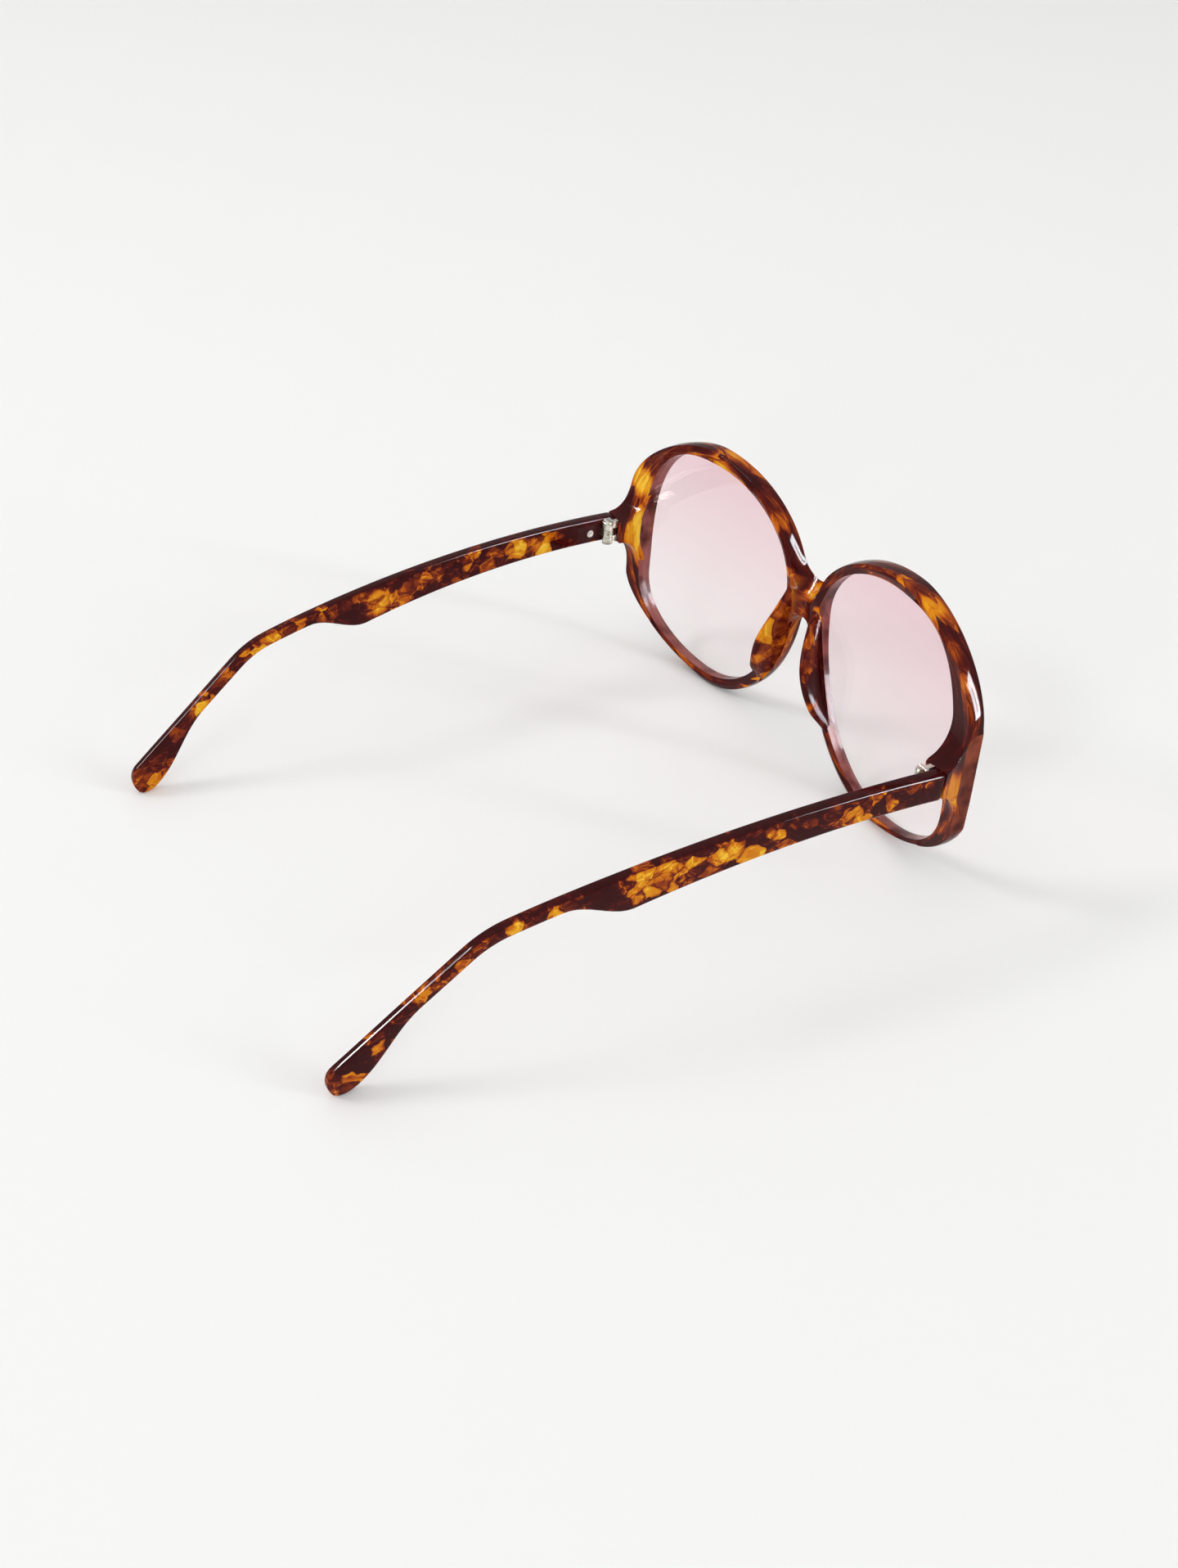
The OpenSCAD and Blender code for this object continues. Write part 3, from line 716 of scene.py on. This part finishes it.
def make_mottle_group():
    tree, given, result = new_group(
        "mottled_plastic",
        {"Vector": "Vector", "Lightness": "Float", **dict.fromkeys(pattern_names, "Float")},
        {"Color": "Color", "Roughness": "Float", "Height": "Float"})
    do, place, chip_scale = partial(maths, tree), given["Vector"], given["Chip Scale"]

    def vectors(operation, at, feed):
        return node(tree, "VectorMath", at, feed, operation=operation).outputs[0]

    def cells(at, scale, **settings):
        return node(tree, "TexVoronoi", at, {"Vector": moved, "Scale": scale}, **settings).outputs

    def random_step(voronoi, x, y):
        red = node(tree, "SeparateColor", (x, y), {0: voronoi["Color"]}).outputs[0]
        return do("SUBTRACT", (x + 180, y), red, 0.5)

    warp = vectors("SUBTRACT", (-1220, -200), {0: noise(tree, place, (-1400, -200), warp_scale)["Color"],
                                               1: (0.5, 0.5, 0.5)})
    moved = vectors("ADD", (-900, -100),
                    {0: place, 1: vectors("SCALE", (-1060, -200), {0: warp, "Scale": warp_reach})})

    chips = cells((-700, 0), chip_scale)
    flecks = cells((-700, -300), do("MULTIPLY", (-880, -420), chip_scale, fleck_ratio))
    own_place = node(tree, "Mix", (-520, 250), {0: given["Crispness"], 4: moved, 5: chips["Position"]},
                     data_type="VECTOR").outputs[1]
    drift = noise(tree, own_place, (-340, 250), given["Drift Scale"], drift_detail)["Fac"]
    steps = do("MULTIPLY_ADD", (-160, -100), random_step(flecks, -520, -300), fleck_share,
               random_step(chips, -520, 0))
    value = do("MULTIPLY_ADD", (0, 0), steps, given["Chip Step"], drift)

    flow = noise(tree, moved, (-700, -600), thread_scale, thread_detail)["Fac"]
    off_middle = do("ABSOLUTE", (-340, -600), do("SUBTRACT", (-520, -600), flow, 0.5))
    thread = do("SUBTRACT", (-160, -600), 1.0, do("MULTIPLY", (-250, -700), off_middle, thread_sharpness))
    thread = do("MAXIMUM", (0, -600), thread, 0.0)
    value = do("MULTIPLY_ADD", (160, -100), thread, given["Threads"], value)

    borders = cells((-700, -900), chip_scale, feature="DISTANCE_TO_EDGE")
    near = fade(tree, borders["Distance"], (-340, -900), outline_core, outline_edge, -1.0, 0.0)
    value = do("MULTIPLY_ADD", (240, -300), near, given["Outlines"], value)
    value = do("ADD", (360, 0), value, given["Lightness"])

    haze = noise(tree, place, (520, -300), haze_scale, haze_detail)["Fac"]
    rough = fade(tree, haze, (720, -300), 0.0, 1.0, *haze_rough, smooth=False)
    colour = colour_ramp(tree, value, (520, 150), chip_colours)
    fill(result, {"Color": colour, "Roughness": rough, "Height": haze})
    return tree


mottle = make_mottle_group()
print("Mottled plastic:", len(mottle.nodes), "nodes")

# %% [markdown]
# Some patches are large enough to remember the object by, such as the amber lug on the
# left. This small group lightens or darkens a soft round patch. It takes a place in the
# model, a radius and an amount, and adds to the value that comes in, so that patches can
# be strung one after another.

# %% The soft patch group
patch_core = 0.35


def make_patch_group():
    tree, given, result = new_group(
        "soft_patch",
        {"Value": "Float", "Vector": "Vector", "Centre": "Vector", "Radius": "Float", "Amount": "Float"},
        {"Value": "Float"})
    gap = node(tree, "VectorMath", (-1200, 0), {0: given["Vector"], 1: given["Centre"]}, operation="DISTANCE")
    core = maths(tree, "MULTIPLY", (-1100, -200), given["Radius"], patch_core)
    inside = fade(tree, gap.outputs["Value"], (-900, 0), core, given["Radius"], 1.0, 0.0)
    total = maths(tree, "MULTIPLY_ADD", (-600, 0), inside, given["Amount"], given["Value"])
    fill(result, {"Value": total})
    return tree


soft_patch = make_patch_group()
print("Soft patch:", len(soft_patch.nodes), "nodes")

# %% [markdown]
# On the front, the chips were drawn out into streaks that follow the rims. These nodes
# give the coordinates for that: they measure the angle and the distance from the middle
# of the lens, and squeeze the angle, so that any pattern is long round the rim and
# narrow across it. The two rims get different places in the pattern.

# %% Coordinates along the rim
along_scale, across_scale, depth_scale, side_offset = 0.017, 3.6, 2.6, 0.06


def along_rim(tree, vector):
    do = partial(maths, tree)
    x, y, z = node(tree, "SeparateXYZ", (-3400, 100), {0: vector}).outputs
    dx = do("SUBTRACT", (-3100, 200), do("ABSOLUTE", (-3250, 200), x), middle[0])
    dz = do("SUBTRACT", (-3100, 0), z, middle[1])
    angle = do("ARCTAN2", (-2950, 100), dz, dx)
    squares = do("MULTIPLY_ADD", (-2800, -100), dx, dx, do("MULTIPLY", (-2950, -200), dz, dz))
    across = do("SQRT", (-2650, -100), squares)
    turn_x = do("MULTIPLY", (-2650, 200), do("COSINE", (-2800, 200), angle), along_scale)
    turn_z = do("MULTIPLY", (-2650, 100), do("SINE", (-2800, 100), angle), along_scale)
    side = do("MULTIPLY_ADD", (-2500, 300), do("SIGN", (-2650, 300), x), side_offset, turn_x)
    depth = do("MULTIPLY", (-2650, -200), y, depth_scale)
    layer = do("MULTIPLY_ADD", (-2500, -100), across, across_scale, depth)
    return node(tree, "CombineXYZ", (-2350, 100), {0: side, 1: layer, 2: turn_z}).outputs[0]

# %% [markdown]
# Each patch is written as its place in millimetres, its radius and how much lighter it is.
# The places are in the model's own frame, on the surface of the piece.

# %% Remembered patches
front_patches = [
    (62.2, -66.9, 34.6, 8.5, 0.26), (62.5, -67.0, 47.0, 5.5, 0.24), (60.5, -67.5, 26.0, 6.5, 0.20),
    (41.6, -70.3, 65.6, 6.0, -0.10), (34.0, -71.1, 64.5, 5.0, 0.10), (12.1, -72.8, 56.1, 4.0, 0.10),
    (6.3, -73.0, 46.1, 2.0, 0.22), (-1.5, -74.5, 44.5, 4.5, 0.26), (0.0, -74.0, 40.0, 4.5, 0.12),
    (-15.3, -72.7, 58.4, 9.0, -0.10), (-34.3, -71.2, 65.5, 5.0, 0.10), (-45.5, -69.8, 64.9, 5.0, 0.10),
    (-56.6, -68.0, 60.3, 4.5, 0.12), (-62.2, -66.9, 55.7, 4.0, 0.12), (-63.0, -66.7, 43.5, 6.0, -0.12),
    (-67.5, -62.5, 31.0, 7.5, 0.28), (-66.8, -58.0, 34.6, 3.2, -0.18), (-64.0, -61.5, 41.0, 6.0, -0.16),
    (64.5, -61.0, 41.0, 6.0, -0.26)]
pad_patches = [
    (11.2, -69.1, 28.0, 3.0, 0.10), (10.3, -69.1, 20.6, 3.0, 0.12), (4.4, -69.1, 27.2, 4.0, -0.08),
    (-10.7, -69.1, 26.2, 3.5, 0.14), (-10.8, -69.1, 18.9, 3.0, 0.08), (-10.4, -69.1, 34.0, 4.0, 0.02)]
right_patches = [
    (-64.9, -7.1, 34.4, 3.6, 0.18), (-63.8, 6.6, 36.0, 4.0, 0.14), (-63.2, 14.0, 31.5, 6.0, 0.11),
    (-67.5, -48.6, 32.9, 4.0, 0.14), (-66.5, -31.5, 37.3, 3.0, 0.16), (-65.7, -18.3, 33.2, 6.0, 0.08),
    (-67.8, -56.4, 33.6, 4.5, -0.10), (-66.0, -23.9, 35.6, 4.0, -0.06), (-60.8, 38.5, 30.5, 4.0, 0.10),
    (-57.0, 73.5, 4.5, 9.0, -0.12), (-58.9, 55.0, 21.0, 5.0, 0.05)]
left_patches = [
    (61.0, 9.9, 32.0, 5.0, 0.30), (60.8, 15.0, 34.0, 4.0, 0.10), (63.9, -37.2, 34.2, 4.0, 0.15),
    (63.6, -31.0, 34.6, 3.5, 0.12), (61.9, -5.0, 33.8, 9.0, -0.08), (64.3, -47.2, 35.9, 6.0, -0.08),
    (56.6, 59.5, 19.8, 5.0, 0.22), (59.0, 34.9, 32.9, 6.0, 0.10), (55.6, 66.5, 10.5, 4.5, -0.04),
    (55.2, 73.5, 3.9, 6.0, 0.02)]
print(len(front_patches + pad_patches + right_patches + left_patches), "patches")

# %% [markdown]
# A material joins the groups: coordinates, then the string of patches, then the mottling.
# Faces that look upward are painted darker: this is painted shade, for the dim light that
# top faces catch. The polish is a thin clear coat, and the plastic mirrors little, which keeps
# the dark chips dark. Across the bridge, the two rims' streaks would meet in a straight line,
# so there the plain pattern takes over within a few millimetres.

# %% Plastic materials
bridge_fade = mm(2.0, 5.5)
bridge_offset, bridge_stretch = (0.004, 0.0, 0.0), (0.45, 1, 1)
top_shade_from, top_shade_to = 0.45, 0.75
bump_strength, bump_distance = 0.02, 0.0005


def new_material(name):
    material = bpy.data.materials.new(name)
    material.use_nodes = True
    return material, material.node_tree, material.node_tree.nodes["Principled BSDF"]


def polish(shader):
    fill(shader.inputs, {"Specular IOR Level": 0.05, "Coat Weight": 0.09, "Coat Roughness": 0.02})


def mottled_nodes(tree, where, value, offset, stretch, pattern, up):
    mapping = node(tree, "Mapping", (-900, 100 + up), {"Vector": where, "Location": offset, "Scale": stretch})
    feed = {"Vector": mapping.outputs[0], "Lightness": value, **dict(zip(pattern_names, pattern))}
    return node(tree, "Group", (-500, up), feed, node_tree=mottle).outputs


def mottled_material(name, patches, lightness, painted_top_shade, offset, stretch, pattern, streaks=False):
    """A plastic; pattern holds the group's settings in the order of pattern_names."""
    material, tree, shader = new_material(name)
    coordinates = node(tree, "TexCoord", (-2200, 0)).outputs
    place = coordinates["Object"]
    # painted shade: the more a face looks up, the darker its plastic is drawn
    facing = node(tree, "SeparateXYZ", (-2000, -300), {0: coordinates["Normal"]}).outputs["Z"]
    value = fade(tree, facing, (-1800, -300), top_shade_from, top_shade_to, lightness, lightness - painted_top_shade)
    for k, (*centre, radius, amount) in enumerate(patches):
        feed = {"Value": value, "Vector": place, "Centre": mm(*centre),
                "Radius": radius * MM, "Amount": amount}
        value = node(tree, "Group", (-1500 + 40 * k, -300 - 30 * k), feed, node_tree=soft_patch).outputs[0]
    where = along_rim(tree, place) if streaks else place
    mottled = mottled_nodes(tree, where, value, offset, stretch, pattern, 0)
    colour = mottled["Color"]
    if streaks:
        plain = mottled_nodes(tree, place, value, bridge_offset, bridge_stretch, pattern, 500)
        across = node(tree, "SeparateXYZ", (-900, 800), {0: place}).outputs["X"]
        off_middle = fade(tree, maths(tree, "ABSOLUTE", (-700, 800), across), (-500, 800), *bridge_fade)
        colour = mix_colours(tree, (-250, 300), off_middle, plain["Color"], colour)
    bump = node(tree, "Bump", (-200, -250), {"Strength": bump_strength, "Distance": bump_distance,
                                             "Height": mottled["Height"]})
    fill(shader.inputs, {"Base Color": colour, "Roughness": mottled["Roughness"],
                         "Normal": bump.outputs["Normal"]})
    polish(shader)
    return material


# the fourth number of each plastic is its painted shade on faces that look up
front_plastic = mottled_material(
    "front_plastic", front_patches, -0.015, 0.03, (0.0, 0.0, 0.0), (1, 1, 1),
    (0.18, 180.0, 85.0, 0.08, 0.75, 0.06), streaks=True)
pad_plastic = mottled_material(
    "pad_plastic", pad_patches, 0.0, 0.0, (0.01, 0.0, 0.02), (1, 1, 0.7),
    (0.16, 260.0, 90.0, 0.08, 0.7, 0.06))
right_plastic = mottled_material(
    "temple_right_plastic", right_patches, -0.03, 0.15, (0.013, 0.02, 0.0), (1, 0.8, 1),
    (0.34, 350.0, 105.0, 0.12, 0.9, 0.09))
left_plastic = mottled_material(
    "temple_left_plastic", left_patches, -0.015, 0.15, (0.033, 0.05, 0.0), (1, 0.8, 1),
    (0.28, 350.0, 105.0, 0.12, 0.9, 0.05))
print("Front plastic:", len(front_plastic.node_tree.nodes), "nodes")

# %% [markdown]
# Inside the openings the plastic is cut across its layers and looks plain; its rosy tint is
# painted light, the pink that the tinted lens throws on it from beside. The flat facets on
# the outer sides are cut across the layers too, and are plain brown. Both get one kind of
# material, a brown with a faint long grain, on their own faces of the front.

# %% Walls and side facets
wall_grain, wall_detail, wall_rough = 120.0, 3.0, 0.22
wall_dark_at, wall_light_at = 0.38, 0.62


def wall_material(name, dark, light):
    material, tree, shader = new_material(name)
    place = node(tree, "TexCoord", (-900, 0)).outputs["Object"]
    grain = noise(tree, place, (-700, 0), wall_grain, wall_detail)["Fac"]
    colour = colour_ramp(tree, grain, (-450, 0), ((wall_dark_at, dark), (wall_light_at, light)))
    fill(shader.inputs, {"Base Color": colour, "Roughness": wall_rough})
    polish(shader)
    return material


# the wall's brown is the cut plastic, its pink is painted light from the tinted lens
rosy_wall = wall_material("rosy_wall", "4a1c1c", "93544f")
brown_facet = wall_material("brown_facet", "4a1610", "8a3f26")
for material in (front_plastic, rosy_wall, brown_facet):
    front.data.materials.append(material)
for pad in pads:
    pad.data.materials.append(pad_plastic)
for temple, plastic in zip(temples, (left_plastic, right_plastic)):
    temple.data.materials.append(plastic)
print("Materials on the front:", [m.name for m in front.data.materials])

# %% [markdown]
# The lenses are dyed pink by dipping, so the tint is strongest at the top and fades to
# almost nothing at the bottom. The shader lets light through and bends it a little less
# than real lens plastic does, so that the lens mirrors less of the bright room.
# For shadows, and for the light that the table throws back, it becomes plainly see-through,
# because light bent by a sheet this thin would otherwise leave dark and bright patches on
# the table that no real lens leaves. Its tint is faint there, as the photo's shadows are.

# %% Lens tint
tint_foot, tint_top = (1.0, 0.99, 0.985, 1), (0.925, 0.685, 0.735, 1)
tint_low, tint_high = mm(4, 60)
smudge_scale, smudge_from, smudge_to, smudge_rough = 60.0, 0.55, 0.8, 0.05
lens_index, shadow_tint = 1.3, (1.0, 0.97, 0.975, 1)


def lens_material():
    material, tree, shader = new_material("pink_lens")
    place = node(tree, "TexCoord", (-1100, 0)).outputs["Object"]
    up = node(tree, "SeparateXYZ", (-900, 0), {0: place}).outputs["Z"]
    share = fade(tree, up, (-700, 0), tint_low, tint_high, smooth=False)
    tint = node(tree, "ValToRGB", (-500, 0), {"Fac": share})
    for stop, colour in zip(tint.color_ramp.elements, (tint_foot, tint_top)):
        stop.color = colour
    smudge = noise(tree, place, (-700, -300), smudge_scale)["Fac"]
    wiped = fade(tree, smudge, (-500, -300), smudge_from, smudge_to, 0.0, smudge_rough, smooth=False)
    fill(shader.inputs, {"Base Color": tint.outputs["Color"], "Roughness": wiped,
                         "Transmission Weight": 1.0, "IOR": lens_index})
    clear = node(tree, "BsdfTransparent", (0, -300), {"Color": shadow_tint})
    path = node(tree, "LightPath", (0, 400)).outputs
    passing = maths(tree, "MAXIMUM", (150, 400), path["Is Shadow Ray"], path["Is Diffuse Ray"])
    mix = node(tree, "MixShader", (300, 100), {0: passing, 1: shader.outputs[0], 2: clear.outputs[0]})
    fill(tree.nodes["Material Output"].inputs, {"Surface": mix.outputs[0]})
    return material


lens_tint = lens_material()
for lens in lenses:
    lens.data.materials.append(lens_tint)
print("Lens tint from", round(tint_low / MM), "to", round(tint_high / MM), "mm up")

# %% [markdown]
# The hinges are nickel silver, dulled by handling, and their screws and rivets are
# brighter steel. The CAD shapes are right as they are, so they stay and only their
# material slots change. A fine noise varies the roughness, and a broad one the colour.
# The plates' faces in the temples are drawn dark brown and not metallic, as dark as the
# plastic round them. A mask that starts at the plate's face lays that brown on.

# %% Metal
plate_face_brown = "35100f"
grain_scale, grain_detail, tarnish_scale = 2500.0, 3.0, 500.0
rough_less, rough_more = 0.08, 0.12
dull_at, light_at = 0.35, 0.55


def metal_material(name, light, dull, rough, brown_from=None):
    material, tree, shader = new_material(name)
    place = node(tree, "TexCoord", (-900, 0)).outputs["Object"]
    grain = noise(tree, place, (-700, 0), grain_scale, grain_detail)["Fac"]
    spread = fade(tree, grain, (-450, 0), 0.0, 1.0, rough - rough_less, rough + rough_more, smooth=False)
    tarnish = noise(tree, place, (-700, 300), tarnish_scale)["Fac"]
    colour = colour_ramp(tree, tarnish, (-450, 300), ((dull_at, dull), (light_at, light)))
    if brown_from is None:
        fill(shader.inputs, {"Base Color": colour, "Roughness": spread, "Metallic": 1.0})
        return material
    across = node(tree, "SeparateXYZ", (-700, 600), {0: place}).outputs["X"]
    out = maths(tree, "ABSOLUTE", (-500, 600), across)
    bare = maths(tree, "LESS_THAN", (-300, 600), out, brown_from)
    plate_colour = mix_colours(tree, (-150, 300), bare, linear(plate_face_brown), colour)
    fill(shader.inputs, {"Base Color": plate_colour, "Roughness": spread, "Metallic": bare,
                         "Specular IOR Level": 0.1})
    return material


hinge_metal = metal_material("hinge_metal_worn", "d6d4c6", "8d8c7c", 0.26)
screw_metal = metal_material("screw_metal_bright", "e2e0d8", "b4b2a8", 0.2)
plate_metal = metal_material("plate_metal_browned", "d6d4c6", "8d8c7c", 0.26, plate_x - play)
for name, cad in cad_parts.items():
    if "screw" in name or "rivet" in name:
        cad.data.materials[0] = screw_metal
    elif "temple_hinge" in name:
        cad.data.materials[0] = plate_metal
    elif "hinge" in name:
        cad.data.materials[0] = hinge_metal
print("Metal on", sum("hinge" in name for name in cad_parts), "pieces of the hinges")

# %% [markdown]
# The camera stands behind and above the right temple, about 40 cm away, as the
# photographer did. Its place and its three axes were found by matching known points of
# the object, such as the rims' tops and the temple tips, to where they appear. So was its
# focal length, in pixels of the photo, which is 1916 pixels high.

# %% Camera
sensor, focus_pixels, photo_pixels = 24.0, 2060, 1916
view = bpy.data.cameras.new("camera")
camera = add_object("camera", view)
camera_at = Vector((-271.62, 230.89, 239.82)) * MM + Vector((0, shift_y, 0))
right = Vector((-0.5147, -0.8567, 0.0344)).normalized()
forward = Vector((0.684, -0.4345, -0.5859)).normalized()
up = right.cross(forward).normalized()
right = forward.cross(up)
camera.matrix_world = Matrix.Translation(camera_at) @ Matrix((right, up, -forward)).transposed().to_4x4()
view.sensor_fit = "VERTICAL"
view.sensor_height = sensor
view.lens = sensor * focus_pixels / photo_pixels
view.clip_start = 0.01
scene.camera = camera
middle_point = Vector((0.0, 0.0, 0.03))
print("Camera", round((camera_at - middle_point).length, 3), "m from the object")

# %% [markdown]
# The glasses lie on a plain white table that runs on as far as the camera sees.

# %% Floor
bm = bmesh.new()
bmesh.ops.create_grid(bm, x_segments=2, y_segments=2, size=3.0)
floor = new_object("floor", bm, smooth=False)
floor_white, tree, shader = new_material("floor_white")
fill(shader.inputs, {"Base Color": (0.905, 0.9, 0.885, 1), "Roughness": 0.9, "Specular IOR Level": 0.0})
floor.data.materials.append(floor_white)
print("Floor:", [round(d, 1) for d in floor.dimensions[:2]], "m")

# %% [markdown]
# Most of the light is a pale sky all round, darker towards the horizon, as in a white room
# lit from above. It comes from every side, so the shadows under the glasses stay faint.

# %% Sky
sky_horizon, sky_top = 0.55, 0.80
world = bpy.data.worlds.new("world")
world.use_nodes = True
sky = world.node_tree
direction = node(sky, "TexCoord", (-900, 0)).outputs["Generated"]
height = node(sky, "SeparateXYZ", (-700, 0), {0: direction}).outputs["Z"]
strength = fade(sky, height, (-500, 0), 0.0, 1.0, sky_horizon, sky_top, smooth=False)
fill(sky.nodes["Background"].inputs, {"Color": (1, 1, 1, 1), "Strength": strength})
scene.world = world
print("Sky from", sky_horizon, "to", sky_top)

# %% [markdown]
# A wide lamp overhead and three far windows add a little light with a direction. The long
# white glints on the rims and along the right tail are mirror images of two large windows,
# so two more lamps stand there that only polished surfaces see. They are bright, because
# the plastic mirrors so little, and would swamp the table if they lit it as well.

# %% Lamps
window_blue = (0.88, 0.94, 1.0)
left_place, right_place, ahead_place = (1.38, 2.25, 1.92), (-1.65, 2.75, 0.87), (-2.43, -2.18, 1.20)


def softbox(name, place, width, height, level, colour=(1, 1, 1), glint_only=False):
    """A flat lamp of even brightness that faces the object; level is its radiance."""
    lamp = bpy.data.lights.new(name, "AREA")
    lamp.shape, lamp.size, lamp.size_y, lamp.color = "RECTANGLE", width, height, colour
    lamp.energy = level * pi * width * height
    holder = add_object(name, lamp)
    turn = (middle_point - Vector(place)).to_track_quat("-Z", "Y").to_matrix().to_4x4()
    holder.matrix_world = Matrix.Translation(Vector(place)) @ turn
    holder.visible_diffuse = not glint_only
    return holder


lamps = [softbox("overhead", (0.15, 0.25, 1.1), 0.8, 0.8, 0.6),
         softbox("window_left", left_place, 0.95, 0.34, 22.0),
         softbox("window_right", right_place, 0.98, 0.39, 18.0, window_blue),
         softbox("window_ahead", ahead_place, 0.20, 1.60, 24.0, window_blue),
         softbox("glint_ahead", ahead_place, 1.0, 2.7, 100.0, window_blue, glint_only=True),
         softbox("glint_left", left_place, 0.95, 0.85, 125.0, glint_only=True)]
scene.view_settings.view_transform = "Standard"
print("Lamps:", [lamp.name for lamp in lamps])
